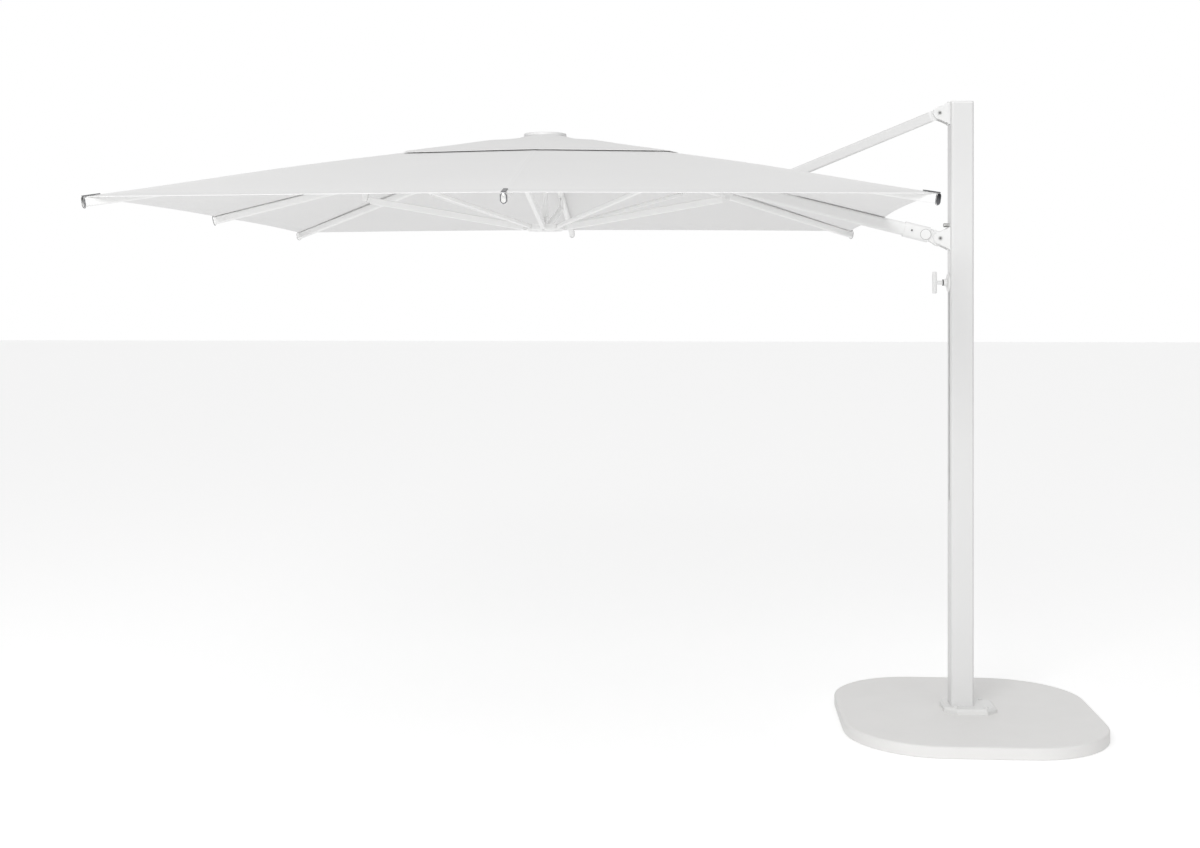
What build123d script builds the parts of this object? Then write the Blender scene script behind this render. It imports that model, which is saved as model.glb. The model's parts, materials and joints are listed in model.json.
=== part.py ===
from build123d import *

import os
from math import cos, hypot, radians, sin, sqrt

# Cantilever parasol, in millimetres. +Z is up and the ground is Z = 0. The mast stands on the origin,
# the boom reaches towards -X, and the canopy hangs from its hub above X = HUB_X.

# ---------------------------------------------------------------- driving dimensions
HUB_X = -1830.0  # canopy axis, from the mast axis
CANOPY_HALF = 1500.0  # half of the square canopy's side
DIAGONAL = sqrt(2) * CANOPY_HALF

FABRIC = 2.0  # thickness of the cloth, measured straight down
APEX_Z = 2581.0  # where the cloth's top face would meet on the canopy axis
EDGE_Z = {"mid": 2221.0, "corner": 2211.0, "boom": 2207.0}  # cloth's top face at the end of each rib line
OPENING_HALF = 420.0  # square wind opening in the main cloth
VENT_HALF = 550.0  # square vent cloth that covers it
VENT_LIFT = 6.0
VENT_START = 97.0  # just outside the top cap
SECTOR_HALF_ANGLE = 22.46  # just under 22.5 degrees, so that neighbouring sectors stay clear

RIB_WIDTH, RIB_DEPTH, RIB_WALL, RIB_CORNER = 24.0, 34.0, 2.0, 8.0
RIB_START = 112.0  # ribs and boom begin this far from the canopy axis
RIB_TIP_Z = {"mid": 2200.0, "corner": 2190.5}  # rib centreline at its tip
PIVOT_R = 70.0  # every hub pivot's distance from the canopy axis
CROWN_PIVOT_Z = {"mid": 2421.0, "corner": 2546.0}
RUNNER_PIVOT_Z = 2163.0
STRUT_PIN = {"mid": (812.0, 2292.0), "corner": (865.0, 2354.5)}
STRUT_SIZE = {"mid": (20.0, 30.0), "corner": (18.0, 18.0)}
STRUT_WALL, STRUT_CORNER = 2.0, 5.0
STRUT_END = 26.0  # from each strut pin to the end of its tube

BOOM_WIDTH, BOOM_DEPTH, BOOM_WALL, BOOM_CORNER = 50.0, 56.0, 3.5, 12.0
BOOM_SLOPE = (APEX_Z - EDGE_Z["boom"]) / CANOPY_HALF
BOOM_EDGE_Z = 2175.0  # boom centreline under the canopy's edge
TIE_WIDTH, TIE_DEPTH, TIE_WALL, TIE_CORNER = 40.0, 45.0, 3.0, 8.0
PIN_X = -95.0  # both mast pivots stand this far in front of the mast axis
TIE_PIN_Z, CARRIAGE_PIN_Z = 2660.0, 2111.0
TIE_LUG = (1065.5, 2385.5)  # tie's lower pivot, from the canopy axis and from the ground

MAST_SIDE, MAST_WALL, MAST_CORNER, MAST_TOP = 100.0, 4.0, 12.0, 2700.0
MAST_FACE = -MAST_SIDE / 2
SLOT_WIDTH, SLOT_BOTTOM, SLOT_TOP = 30.0, 960.0, 2160.0
CLAMP_Z = 1918.0
BASE_TOP = 50.0
BASE_HALF_X, BASE_HALF_Y, BASE_BOW, BASE_CORNER = 550.0, 580.0, 5.0, 385.0
BASE_X, BASE_Y = 22.0, -14.0  # the mast stands a little off the slab's middle
BASE_ROUND, BASE_CHAMFER = 9.0, 5.0
FOOT_SIDE, FOOT_HEIGHT, FOOT_X = 226.0, 23.0, 32.0
FOOT_CORNER, FOOT_BEVEL = 48.0, 9.0
FOOT_BOLT_SPOTS = [(FOOT_X + x, y) for x in (-66, 66) for y in (-72, 72)]
FOOT_BOLT, FOOT_BOLT_HOLE, FOOT_BOLT_DEPTH = 5.8, 6.0, 30.0
TOP_CAP_Z, TOP_CAP_HEIGHT, TOP_CAP_R = 2570.0, 13.0, 95.0

PLATE = 8.0  # tongues and root plates
SLOT = 9.0  # gaps that the plates turn in
PIN, PIN_HOLE = 4.0, 4.05  # running fit of the small pivots
OPEN_EYE = 7.0  # oversize eye where a corner strut meets the runner
BOLT, BOLT_HOLE = 8.0, 8.05  # running fit of the tie and carriage pivots

MIDS = {"near": -90, "left": 180, "far": 90}
CORNERS = {"near_right": -45, "near_left": -135, "far_left": 135, "far_right": 45}
BOOM_AZIMUTH = 0

os.makedirs("parts", exist_ok=True)


# ---------------------------------------------------------------- shared shapes
def save(piece, label):
    piece.part.label = label
    export_step(piece.part, f"parts/{label}.step")


def upright(azimuth):
    """Upright plane through the canopy axis: local x is the reach from that axis and local y the height."""
    a = radians(azimuth)
    return Plane(origin=(HUB_X, 0, 0), x_dir=(cos(a), sin(a), 0), z_dir=(sin(a), -cos(a), 0))


def along(plane, start, end):
    """Cross-section plane at start for a bar that runs to end, and the bar's length."""
    first = plane.from_local_coords(Vector(start[0], start[1], 0))
    last = plane.from_local_coords(Vector(end[0], end[1], 0))
    return Plane(origin=first, x_dir=plane.z_dir, z_dir=last - first), (last - first).length


def bar(plane, start, end, width, depth, corner):
    section, length = along(plane, start, end)
    with BuildPart() as solid:
        with BuildSketch(section):
            RectangleRounded(width, depth, corner)
        extrude(amount=length)
    return solid.part


def box_tube(plane, start, end, width, depth, wall, corner):
    section, length = along(plane, start, end)
    with BuildPart() as tube:
        with BuildSketch(section):
            RectangleRounded(width, depth, corner)
            RectangleRounded(width - 2 * wall, depth - 2 * wall, corner - wall, mode=Mode.SUBTRACT)
        extrude(amount=length)
    return tube.part


def plate(plane, outline, low, high, eyes=(), hole=0.0):
    """Flat plate from local height low to high: an outline, round eyes (x, y, radius) and a hole in each."""
    with BuildPart() as flat:
        with BuildSketch(plane.offset(low)):
            if outline:
                with BuildLine():
                    Polyline(*outline, close=True)
                make_face()
            for x, y, radius in eyes:
                with Locations((x, y)):
                    Circle(radius)
            if hole:
                with Locations(*[(x, y) for x, y, _ in eyes]):
                    Circle(hole, mode=Mode.SUBTRACT)
        extrude(amount=high - low)
    return flat.part


def rod(plane, x, y, radius, low, high):
    return plate(plane, (), low, high, eyes=((x, y, radius),))


def hull_outline(x0, y0, x1, y1, half0, half1):
    """Four corners of a tapered web from one centre to another, with its half widths at the two ends."""
    length = hypot(x1 - x0, y1 - y0)
    nx, ny = -(y1 - y0) / length, (x1 - x0) / length
    return (
        (x0 + nx * half0, y0 + ny * half0),
        (x1 + nx * half1, y1 + ny * half1),
        (x1 - nx * half1, y1 - ny * half1),
        (x0 - nx * half0, y0 - ny * half0),
    )


def point_towards(start, end, distance):
    length = hypot(end[0] - start[0], end[1] - start[1])
    return (
        start[0] + (end[0] - start[0]) * distance / length,
        start[1] + (end[1] - start[1]) * distance / length,
    )


def joined(*shapes):
    with BuildPart() as whole:
        for shape in shapes:
            add(shape)
    return whole


def grouped(*shapes):
    """Separate solids that share one node."""
    with BuildPart() as group:
        for shape in shapes:
            add(shape)
    return group


# ---------------------------------------------------------------- base and mast
with BuildPart() as base_slab:
    with BuildSketch(Plane.XY):
        with BuildLine():
            reach_x, reach_y = BASE_HALF_X + BASE_BOW, BASE_HALF_Y + BASE_BOW
            corners = [(-1, -1), (1, -1), (1, 1), (-1, 1)]
            for i, (sx, sy) in enumerate(corners):
                tx, ty = corners[(i + 1) % 4]
                ThreePointArc(
                    (sx * BASE_HALF_X + BASE_X, sy * BASE_HALF_Y + BASE_Y),
                    ((sx + tx) / 2 * reach_x + BASE_X, (sy + ty) / 2 * reach_y + BASE_Y),
                    (tx * BASE_HALF_X + BASE_X, ty * BASE_HALF_Y + BASE_Y),
                )
        make_face()
    extrude(amount=BASE_TOP)
    fillet(base_slab.edges().filter_by(Axis.Z), radius=BASE_CORNER)
    fillet(base_slab.edges().group_by(Axis.Z)[-1], radius=BASE_ROUND)
    chamfer(base_slab.edges().group_by(Axis.Z)[0], length=BASE_CHAMFER)
    with BuildSketch(Plane.XY.offset(BASE_TOP)):
        with Locations(*FOOT_BOLT_SPOTS):
            Circle(FOOT_BOLT_HOLE)
    extrude(amount=-FOOT_BOLT_DEPTH, mode=Mode.SUBTRACT)
save(base_slab, "base_slab")

with BuildPart() as base_foot_plate:
    with BuildSketch(Plane.XY.offset(BASE_TOP)) as foot_outline:
        with Locations((FOOT_X, 0)):
            Rectangle(FOOT_SIDE, FOOT_SIDE)
        chamfer(foot_outline.vertices(), length=FOOT_CORNER)
    extrude(amount=FOOT_HEIGHT)
    chamfer(base_foot_plate.edges().group_by(Axis.Z)[-1], length=FOOT_BEVEL)
    with BuildSketch(Plane.XY.offset(BASE_TOP)):
        RectangleRounded(MAST_SIDE + 0.2, MAST_SIDE + 0.2, MAST_CORNER)
        with Locations(*FOOT_BOLT_SPOTS):
            Circle(FOOT_BOLT_HOLE)
    extrude(amount=FOOT_HEIGHT, mode=Mode.SUBTRACT)
save(base_foot_plate, "base_foot_plate")

with BuildPart() as foot_bolts:
    with BuildSketch(Plane.XY.offset(BASE_TOP + FOOT_HEIGHT)):
        with Locations(*FOOT_BOLT_SPOTS):
            Circle(9.5)
    extrude(amount=4)
    fillet(foot_bolts.edges().group_by(Axis.Z)[-1], radius=2.5)
    with BuildSketch(Plane.XY.offset(BASE_TOP + FOOT_HEIGHT)):
        with Locations(*FOOT_BOLT_SPOTS):
            Circle(FOOT_BOLT)
    extrude(amount=-FOOT_HEIGHT - FOOT_BOLT_DEPTH)
save(foot_bolts, "foot_bolts")

with BuildPart() as mast_spigot:
    with BuildSketch(Plane.XY.offset(BASE_TOP)):
        RectangleRounded(86, 86, 8)
        RectangleRounded(74, 74, 4, mode=Mode.SUBTRACT)
    extrude(amount=300)
save(mast_spigot, "mast_spigot")

with BuildPart() as mast:
    with BuildSketch(Plane.XY.offset(BASE_TOP)):
        RectangleRounded(MAST_SIDE, MAST_SIDE, MAST_CORNER)
        inner = MAST_SIDE - 2 * MAST_WALL
        RectangleRounded(inner, inner, MAST_CORNER - MAST_WALL, mode=Mode.SUBTRACT)
    extrude(amount=MAST_TOP - BASE_TOP)
    with BuildSketch(Plane.YZ.offset(MAST_FACE - 1)):
        with Locations((0, (SLOT_BOTTOM + SLOT_TOP) / 2)):
            RectangleRounded(SLOT_WIDTH, SLOT_TOP - SLOT_BOTTOM, SLOT_WIDTH / 2 - 1)
    extrude(amount=MAST_WALL + 2, mode=Mode.SUBTRACT)
save(mast, "mast")

with BuildPart() as mast_cap:
    with BuildSketch(Plane.XY.offset(MAST_TOP)):
        RectangleRounded(MAST_SIDE, MAST_SIDE, MAST_CORNER)
    extrude(amount=10)
    chamfer(mast_cap.edges().group_by(Axis.Z)[-1], length=3)
    with BuildSketch(Plane.XY.offset(MAST_TOP)):
        RectangleRounded(inner - 0.4, inner - 0.4, MAST_CORNER - MAST_WALL)
    extrude(amount=-25)
save(mast_cap, "mast_cap")


def mast_bracket(pin_z, inner_half, cheek, gap):
    """Back plate and two ears, gap in front of the mast's face, round the pin at PIN_X and pin_z."""
    side = Plane(origin=(0, 0, 0), x_dir=(1, 0, 0), z_dir=(0, -1, 0))
    half_height, nose, back = 49.0, 27.0, 8.0
    face = MAST_FACE - gap
    ear = (
        (face, pin_z - half_height),
        (face, pin_z + half_height),
        (PIN_X - 5, pin_z + nose - 0.5),
        (PIN_X - 5, pin_z - nose + 0.5),
    )
    eye = ((PIN_X, pin_z, nose),)
    outer_half = inner_half + cheek
    plates = [
        plate(side, ear, low, low + cheek, eye, BOLT_HOLE) for low in (inner_half, -outer_half)
    ]
    with BuildPart() as back_plate:
        with BuildSketch(Plane.YZ.offset(face)):
            with Locations((0, pin_z)):
                Rectangle(2 * outer_half, 2 * half_height)
        extrude(amount=-back)
    return joined(back_plate.part, *plates)


def bolt(plane, x, y, half_length, radius=BOLT, head=9.0, head_length=3.0):
    """Pivot bolt across a bracket, with a flat head outside each ear."""
    return joined(
        rod(plane, x, y, radius, -half_length, half_length),
        rod(plane, x, y, head, half_length, half_length + head_length),
        rod(plane, x, y, head, -half_length - head_length, -half_length),
    )


SIDE = Plane(origin=(0, 0, 0), x_dir=(1, 0, 0), z_dir=(0, -1, 0))
TOP_INNER, TOP_CHEEK = 24.0, 8.0
CARRIAGE_INNER, CARRIAGE_CHEEK = 36.0, 10.0
RUNNING_GAP = 0.4  # carriage parts stand this far off the mast

save(mast_bracket(TIE_PIN_Z, TOP_INNER, TOP_CHEEK, 0.0), "top_bracket")
save(bolt(SIDE, PIN_X, TIE_PIN_Z, TOP_INNER + TOP_CHEEK), "tie_pivot_bolt")

STOP_Z, STOP_R, STOP_LENGTH = 2170.0, 9.0, 25.0
with BuildPart() as carriage_stop:
    with BuildSketch(Plane.YZ.offset(MAST_FACE)):
        with Locations((0, STOP_Z)):
            Circle(STOP_R)
    extrude(amount=-STOP_LENGTH)
    fillet(carriage_stop.edges().group_by(Axis.X)[0], radius=3)
save(carriage_stop, "carriage_stop")

# ---------------------------------------------------------------- carriage and its clamp
save(mast_bracket(CARRIAGE_PIN_Z, CARRIAGE_INNER, CARRIAGE_CHEEK, RUNNING_GAP), "carriage_bracket")
save(bolt(SIDE, PIN_X, CARRIAGE_PIN_Z, CARRIAGE_INNER + CARRIAGE_CHEEK), "carriage_pivot_bolt")

SLIDER_LOW, SLIDER_HIGH = 1872.0, 2158.0
SCREW_HOLE = 6.4
with BuildPart() as carriage_slider:
    neck_start = MAST_FACE - RUNNING_GAP
    slider_face = MAST_FACE + MAST_WALL + RUNNING_GAP
    with BuildSketch(Plane.YZ.offset(neck_start)):
        with Locations((0, (SLIDER_LOW + SLIDER_HIGH) / 2)):
            Rectangle(SLOT_WIDTH - 1, SLIDER_HIGH - SLIDER_LOW - 30)
    extrude(amount=slider_face - neck_start)
    with BuildSketch(Plane.YZ.offset(slider_face)):
        with Locations((0, (SLIDER_LOW + SLIDER_HIGH) / 2)):
            Rectangle(50, SLIDER_HIGH - SLIDER_LOW)
    extrude(amount=20)
    with BuildSketch(Plane.YZ.offset(neck_start)):
        with Locations((0, CLAMP_Z)):
            Circle(SCREW_HOLE)
    extrude(amount=30, mode=Mode.SUBTRACT)
save(carriage_slider, "carriage_slider")

with BuildPart() as clamp_washer:
    with BuildSketch(Plane.YZ.offset(MAST_FACE - RUNNING_GAP)):
        with Locations((0, CLAMP_Z)):
            Circle(41)
            Circle(SCREW_HOLE, mode=Mode.SUBTRACT)
    extrude(amount=-8)
    fillet(clamp_washer.edges().group_by(Axis.X)[0].sort_by(Edge.length)[-1], radius=7)
save(clamp_washer, "clamp_washer")

WASHER_FACE = MAST_FACE - RUNNING_GAP - 8.0
HANDLE_X, HANDLE_R, HANDLE_HALF = -113.0, 10.0, 48.0
STEM_R, COLLAR_R, CONE_R = 8.5, 13.5, 18.0
with BuildPart() as clamp_handle:
    with BuildSketch(Plane.XZ):
        with BuildLine():
            cone_face = WASHER_FACE - 0.4
            Polyline(
                (cone_face, CLAMP_Z),
                (cone_face, CLAMP_Z + CONE_R),
                (cone_face - 4, CLAMP_Z + CONE_R),
                (cone_face - 15, CLAMP_Z + COLLAR_R),
                (cone_face - 21, CLAMP_Z + COLLAR_R),
                (cone_face - 21, CLAMP_Z + STEM_R),
                (HANDLE_X, CLAMP_Z + STEM_R),
                (HANDLE_X, CLAMP_Z),
                close=True,
            )
        make_face()
    revolve(axis=Axis((0, 0, CLAMP_Z), (1, 0, 0)))
    with BuildSketch(Plane.XY.offset(CLAMP_Z)):
        with Locations((HANDLE_X, 0)):
            Circle(HANDLE_R)
    extrude(amount=HANDLE_HALF, both=True)
    fillet(clamp_handle.edges().group_by(Axis.Z)[-1] + clamp_handle.edges().group_by(Axis.Z)[0], radius=6)
    with BuildSketch(Plane.YZ.offset(WASHER_FACE - 1)):
        with Locations((0, CLAMP_Z)):
            Circle(6)
    extrude(amount=28)
save(clamp_handle, "clamp_handle")

# ---------------------------------------------------------------- tie
BOOM_PLANE = upright(BOOM_AZIMUTH)
TIE_TOP = (PIN_X - HUB_X, TIE_PIN_Z)  # in the boom plane's own coordinates
TIE_TUBE_START, TIE_TUBE_END = 44.0, 40.0
tie_upper = point_towards(TIE_TOP, TIE_LUG, TIE_TUBE_START)
tie_lower = point_towards(TIE_LUG, TIE_TOP, TIE_TUBE_END)
save(
    joined(box_tube(BOOM_PLANE, tie_upper, tie_lower, TIE_WIDTH, TIE_DEPTH, TIE_WALL, TIE_CORNER)),
    "tie_tube",
)


def tie_plug(end, inside, shoulder):
    """Fills the tube's end and closes it with a shoulder of the tube's own outline."""
    into = point_towards(end, inside, 50)
    out = point_towards(end, inside, -shoulder)
    inner_size = (TIE_WIDTH - 2 * TIE_WALL, TIE_DEPTH - 2 * TIE_WALL, TIE_CORNER - TIE_WALL)
    return (
        bar(BOOM_PLANE, end, into, *inner_size),
        bar(BOOM_PLANE, out, end, TIE_WIDTH, TIE_DEPTH, TIE_CORNER),
    )


TONGUE_HALF = TOP_INNER - 1.0
upper_web = hull_outline(*TIE_TOP, *tie_upper, 21.5, 21.5)
tie_upper_end = joined(
    *tie_plug(tie_upper, tie_lower, 6),
    plate(BOOM_PLANE, upper_web, -18, 18, ((*TIE_TOP, 22),), BOLT_HOLE),
    plate(BOOM_PLANE, (), -TONGUE_HALF, TONGUE_HALF, ((*TIE_TOP, 20),), BOLT_HOLE),
)
LUG_HALF, FORK_GAP, FORK_CHEEK = 8.0, 8.5, 8.0
lower_web = hull_outline(*TIE_LUG, *tie_lower, 19.5, 20)
fork_cheeks = [
    plate(BOOM_PLANE, lower_web, low, low + FORK_CHEEK, ((*TIE_LUG, 20),), BOLT_HOLE)
    for low in (FORK_GAP, -FORK_GAP - FORK_CHEEK)
]
tie_lower_end = joined(*tie_plug(tie_lower, tie_upper, 4), *fork_cheeks)
save(grouped(tie_upper_end.part, tie_lower_end.part), "tie_end_fittings")
tie_lug_bolt = bolt(BOOM_PLANE, *TIE_LUG, FORK_GAP + FORK_CHEEK, head=12.0)


# ---------------------------------------------------------------- boom
def boom_z(reach):
    """Height of the boom's centreline at a reach from the canopy axis."""
    return BOOM_EDGE_Z + BOOM_SLOPE * (CANOPY_HALF - reach)


BOOM_TILT = hypot(1, BOOM_SLOPE)
BOOM_TOP_OFFSET = BOOM_DEPTH / 2 * BOOM_TILT  # centreline to top face, measured straight up
SLEEVE_START, SLEEVE_END, BOOM_END = 1584.0, 1690.0, 1640.0
SLEEVE_WIDTH, SLEEVE_DEPTH = 62.0, 66.0
CARRIAGE_PIN = (PIN_X - HUB_X, CARRIAGE_PIN_Z)


def on_boom(reach, rise=0.0):
    return (reach, boom_z(reach) + rise)


save(
    joined(
        box_tube(
            BOOM_PLANE, on_boom(RIB_START), on_boom(BOOM_END), BOOM_WIDTH, BOOM_DEPTH, BOOM_WALL, BOOM_CORNER
        )
    ),
    "boom_tube",
)
section, sleeve_length = along(BOOM_PLANE, on_boom(SLEEVE_START), on_boom(SLEEVE_END))
with BuildPart() as boom_sleeve:
    with BuildSketch(section):
        RectangleRounded(SLEEVE_WIDTH, SLEEVE_DEPTH, 14)
        RectangleRounded(BOOM_WIDTH, BOOM_DEPTH, BOOM_CORNER, mode=Mode.SUBTRACT)
    extrude(amount=sleeve_length)
save(boom_sleeve, "boom_sleeve")

KNUCKLE = 33.0
KNUCKLE_HALF = CARRIAGE_INNER - 1.0
neck = hull_outline(*CARRIAGE_PIN, *on_boom(SLEEVE_END + 12), 30, 27)
save(
    joined(
        bar(BOOM_PLANE, on_boom(BOOM_END + 2), on_boom(SLEEVE_END + 14), BOOM_WIDTH, BOOM_DEPTH, BOOM_CORNER),
        plate(BOOM_PLANE, neck, -25, 25, ((*CARRIAGE_PIN, KNUCKLE),), BOLT_HOLE),
        plate(BOOM_PLANE, (), -KNUCKLE_HALF, KNUCKLE_HALF, ((*CARRIAGE_PIN, 24),), BOLT_HOLE),
    ),
    "boom_knuckle",
)

SLEEVE_FACE = SLEEVE_WIDTH / 2
trims = []
for low, high in ((SLEEVE_FACE, SLEEVE_FACE + 2), (-SLEEVE_FACE - 2, -SLEEVE_FACE)):
    trims.append(rod(BOOM_PLANE, *on_boom(1614), 7, low, high))
    trims.append(rod(BOOM_PLANE, *on_boom(1674, -3), 22, low, high))
save(grouped(*trims), "boom_sleeve_trim")

LUG_BASE = 5.0
lug_from, lug_to = 1005.0, 1126.0
lug_base_rise = BOOM_TOP_OFFSET + LUG_BASE / 2 * BOOM_TILT
lug_foot = [on_boom(lug_from + 8, BOOM_TOP_OFFSET + 2), on_boom(lug_to - 8, BOOM_TOP_OFFSET + 2)]
lug_web = (lug_foot[0], lug_foot[1], (TIE_LUG[0] + 18, TIE_LUG[1] - 5), (TIE_LUG[0] - 18, TIE_LUG[1] - 5))
tie_lug = joined(
    bar(BOOM_PLANE, on_boom(lug_from, lug_base_rise), on_boom(lug_to, lug_base_rise), 40, LUG_BASE, 2),
    plate(BOOM_PLANE, lug_web, -LUG_HALF, LUG_HALF, ((*TIE_LUG, 20),), BOLT_HOLE),
)
save(grouped(tie_lug.part, tie_lug_bolt.part), "boom_tie_lug")


# ---------------------------------------------------------------- pivot plates shared by boom and ribs
def strut_lug(plane, pin, under):
    """Saddle under a rib with two ears, and the pin that holds a strut's tongue between them."""
    x, y = pin
    saddle, thickness, inner_half = 3.0, 6.0, SLOT / 2
    first, last = (x - 24, under(x - 24)), (x + 24, under(x + 24))
    lean = (first[1] - last[1]) / (last[0] - first[0])
    drop = saddle / 2 * hypot(1, lean)
    ends = [(first[0], first[1] - drop), (last[0], last[1] - drop)]
    ear = ((x - 20, under(x - 20) - 2), (x + 20, under(x + 20) - 2), (x + 10, y - 4), (x - 10, y - 4))
    ears = [
        plate(plane, ear, low, low + thickness, ((x, y, 11),), PIN_HOLE)
        for low in (inner_half, -inner_half - thickness)
    ]
    lug = joined(bar(plane, *ends, 24, saddle, 1), *ears)
    return lug.part, bolt(plane, x, y, inner_half + thickness, PIN, 7.0, 3.0).part


def root_plate(plane, pivot_z, start, slope_point, size):
    """Plug in the rib's inner end and the plate that reaches from it to the crown pivot."""
    width, depth, wall, corner = size
    half = depth / 2 - 3
    top, bottom = start[1] + half, start[1] - half
    if pivot_z < bottom:
        web = (
            (PIVOT_R - 12, pivot_z),
            (92, pivot_z + 60),
            (92, top),
            (RIB_START - 5, top - 2),
            (RIB_START - 5, bottom),
            (PIVOT_R + 13, pivot_z - 3),
        )
    else:
        web = hull_outline(PIVOT_R, pivot_z, RIB_START - 5, start[1] - 1, 12, half - 2)
    plug = bar(plane, start, slope_point, width - 2 * wall, depth - 2 * wall, corner - wall)
    return joined(plug, plate(plane, web, -PLATE / 2, PLATE / 2, ((PIVOT_R, pivot_z, 13),), PIN_HOLE))


BOOM_SIZE = (BOOM_WIDTH, BOOM_DEPTH, BOOM_WALL, BOOM_CORNER)
boom_root = root_plate(BOOM_PLANE, CROWN_PIVOT_Z["mid"], on_boom(96), on_boom(160), BOOM_SIZE)
boom_lug = strut_lug(BOOM_PLANE, STRUT_PIN["mid"], lambda reach: boom_z(reach) - BOOM_TOP_OFFSET)
save(grouped(boom_root.part, *boom_lug), "boom_fittings")


# ---------------------------------------------------------------- ribs
def make_rib(name, azimuth, family):
    plane = upright(azimuth)
    tip_r = CANOPY_HALF if family == "mid" else DIAGONAL
    slope = (APEX_Z - EDGE_Z[family]) / tip_r
    tilt = hypot(1, slope)

    def centre(reach, rise=0.0):
        return (reach, RIB_TIP_Z[family] + slope * (tip_r - reach) + rise)

    past_cloth, cap_length = 0.6, 4.5
    tube_end = tip_r + past_cloth
    tube = box_tube(
        plane, centre(RIB_START), centre(tube_end), RIB_WIDTH, RIB_DEPTH, RIB_WALL, RIB_CORNER
    )
    save(joined(tube), f"rib_{name}")

    inner_size = (RIB_WIDTH - 2 * RIB_WALL, RIB_DEPTH - 2 * RIB_WALL, RIB_CORNER - RIB_WALL)
    end_cap = joined(
        bar(plane, centre(tube_end), centre(tube_end + cap_length), RIB_WIDTH + 2, RIB_DEPTH + 9, 12),
        bar(plane, centre(tube_end - 35), centre(tube_end), *inner_size),
    )

    size = (RIB_WIDTH, RIB_DEPTH, RIB_WALL, RIB_CORNER)
    root = root_plate(plane, CROWN_PIVOT_Z[family], centre(96), centre(160), size)
    lug, pin = strut_lug(plane, STRUT_PIN[family], lambda reach: centre(reach, -RIB_DEPTH / 2 * tilt)[1])
    save(grouped(root.part, lug, pin, end_cap.part), f"rib_fittings_{name}")


def make_strut(name, azimuth, family):
    plane = upright(azimuth)
    outer, inner_pin = STRUT_PIN[family], (PIVOT_R, RUNNER_PIVOT_Z)
    width, depth = STRUT_SIZE[family]
    start, end = point_towards(outer, inner_pin, STRUT_END), point_towards(inner_pin, outer, STRUT_END)
    plug_size = (width - 2 * STRUT_WALL, depth - 2 * STRUT_WALL, STRUT_CORNER - STRUT_WALL)
    shapes = [box_tube(plane, start, end, width, depth, STRUT_WALL, STRUT_CORNER)]
    for pin, face, inside in ((outer, start, end), (inner_pin, end, start)):
        loose = family == "corner" and pin is inner_pin
        eye = 12.0 if loose else 10.0
        web = hull_outline(*pin, *face, 8, 8)
        tongue = joined(
            bar(plane, face, point_towards(face, inside, 30), *plug_size),
            plate(plane, web, -PLATE / 2, PLATE / 2, ((*pin, eye),), OPEN_EYE if loose else PIN_HOLE),
        )
        shapes.append(tongue.part)
    save(grouped(*shapes), f"strut_{name}")


for name, azimuth in MIDS.items():
    make_rib(name, azimuth, "mid")
    make_strut(name, azimuth, "mid")
for name, azimuth in CORNERS.items():
    make_rib(name, azimuth, "corner")
    make_strut(name, azimuth, "corner")
make_strut("boom", BOOM_AZIMUTH, "mid")


# ---------------------------------------------------------------- crown, pole and cap
def slotted_disc(height, radius, half_height, azimuths, bore, rim=0.0):
    """Hub disc with a slot for each tongue and a hole across each slot for its pin. rim bevels its lower edge."""
    with BuildPart() as disc:
        with BuildSketch(Plane((HUB_X, 0, height - half_height))):
            Circle(radius)
        extrude(amount=2 * half_height)
        if rim:
            chamfer(disc.edges().group_by(Axis.Z)[0], length=rim)
        with BuildSketch(Plane((HUB_X, 0, height - half_height))):
            Circle(bore)
            for azimuth in azimuths:
                a = radians(azimuth)
                with Locations(Location((70 * cos(a), 70 * sin(a), 0), (0, 0, azimuth))):
                    Rectangle(36, SLOT)
        extrude(amount=2 * half_height, mode=Mode.SUBTRACT)
        for azimuth in azimuths:
            add(rod(upright(azimuth), PIVOT_R, height, PIN_HOLE, -16, 16), mode=Mode.SUBTRACT)
    return disc.part


MID_AZIMUTHS = [BOOM_AZIMUTH, *MIDS.values()]
ALL_AZIMUTHS = [*MID_AZIMUTHS, *CORNERS.values()]
POLE_R, SLEEVE_R = 11.0, 16.0
with BuildPart() as crown_core:
    with BuildSketch(Plane((HUB_X, 0, 2400))):
        Circle(24)
        Circle(POLE_R, mode=Mode.SUBTRACT)
    extrude(amount=TOP_CAP_Z - 2400)
save(
    joined(
        crown_core.part,
        slotted_disc(CROWN_PIVOT_Z["mid"], 85, 13, MID_AZIMUTHS, POLE_R),
        slotted_disc(CROWN_PIVOT_Z["corner"], 85, 13, list(CORNERS.values()), POLE_R),
    ),
    "crown_hub",
)
crown_pins = [rod(upright(a), PIVOT_R, CROWN_PIVOT_Z["mid"], PIN, -15, 15) for a in MID_AZIMUTHS]
crown_pins += [rod(upright(a), PIVOT_R, CROWN_PIVOT_Z["corner"], PIN, -15, 15) for a in CORNERS.values()]
save(grouped(*crown_pins), "crown_pins")

POLE_LOW, POLE_SLEEVE_TOP = 2210.0, 2260.0
with BuildPart() as canopy_pole:
    with BuildSketch(Plane((HUB_X, 0, POLE_LOW))):
        Circle(POLE_R)
        Circle(6, mode=Mode.SUBTRACT)
    extrude(amount=TOP_CAP_Z - POLE_LOW)
with BuildPart() as pole_sleeve:
    with BuildSketch(Plane((HUB_X, 0, POLE_LOW))):
        Circle(SLEEVE_R)
        Circle(POLE_R, mode=Mode.SUBTRACT)
    extrude(amount=POLE_SLEEVE_TOP - POLE_LOW)
save(grouped(canopy_pole.part, pole_sleeve.part), "canopy_pole")

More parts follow.
